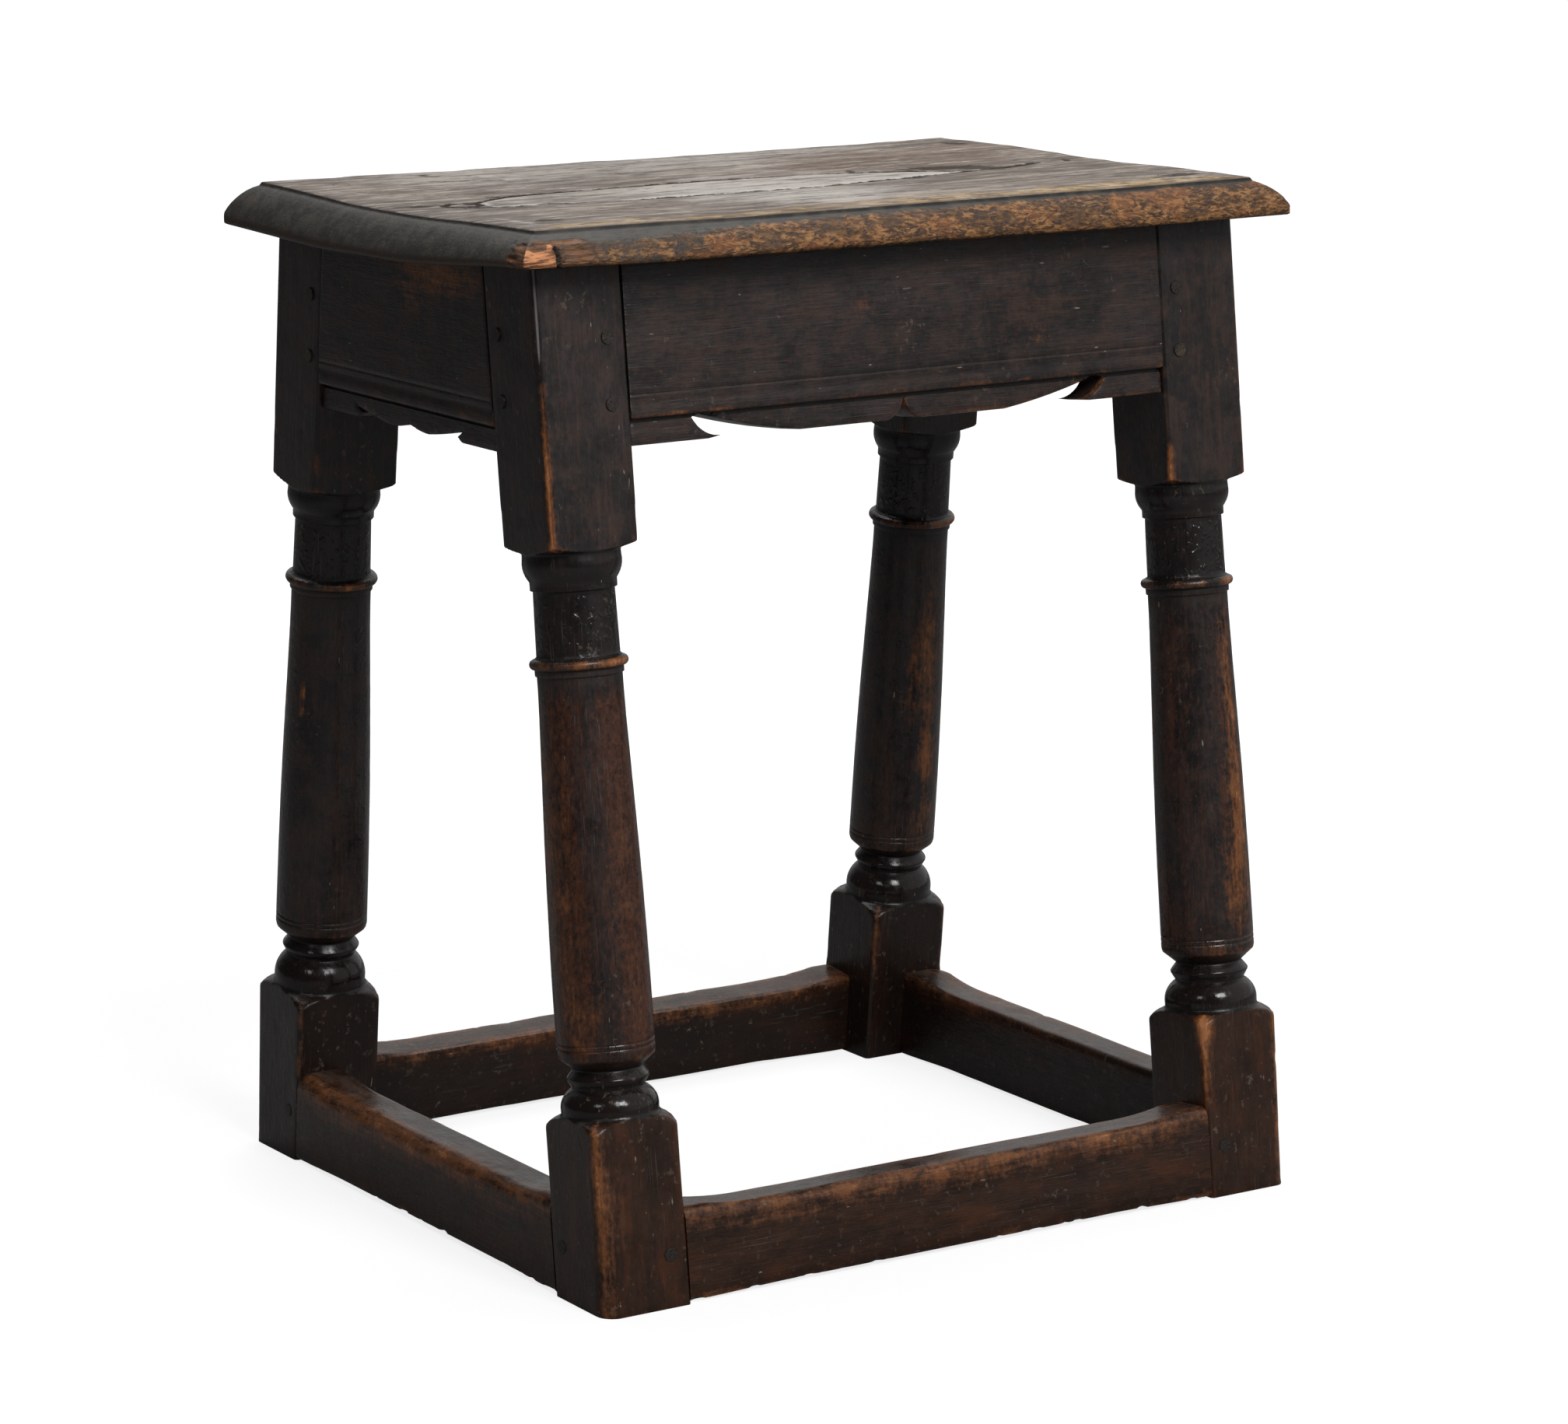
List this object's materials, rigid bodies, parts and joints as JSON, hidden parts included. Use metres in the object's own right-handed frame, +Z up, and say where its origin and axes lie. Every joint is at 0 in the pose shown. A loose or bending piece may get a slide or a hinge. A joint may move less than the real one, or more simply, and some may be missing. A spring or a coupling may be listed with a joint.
{
  "type": "joint stool",
  "caption": "Oblong stool with a moulded board on splayed turned legs, tied by shaped rails and floor-level stretchers in pegged mortise and tenon joints.",
  "frame": {"origin": "on the floor, below the middle of the board", "axes": "+X along the stool's length, +Y across it from front to back, +Z up; the front rail faces -Y"},
  "size_m": [0.446, 0.3694, 0.5165],
  "materials": {
    "weathered_oak": "worn wax",
    "dark_oak": "dark wax polish",
    "peg_oak": "dark wax polish"
  },
  "bodies": {
    "root": {"top_board": "weathered_oak", "leg_front_left": "dark_oak", "leg_front_right": "dark_oak", "leg_back_left": "dark_oak", "leg_back_right": "dark_oak", "rail_front": "dark_oak", "rail_back": "dark_oak", "rail_left": "dark_oak", "rail_right": "dark_oak", "stretcher_front": "dark_oak", "stretcher_back": "dark_oak", "stretcher_left": "dark_oak", "stretcher_right": "dark_oak", "rail_front_pegs": "peg_oak", "rail_back_pegs": "peg_oak", "rail_left_pegs": "peg_oak", "rail_right_pegs": "peg_oak", "stretcher_front_pegs": "peg_oak", "stretcher_back_pegs": "peg_oak", "stretcher_left_pegs": "peg_oak", "stretcher_right_pegs": "peg_oak", "top_pegs": "peg_oak"}
  },
  "joints": []
}
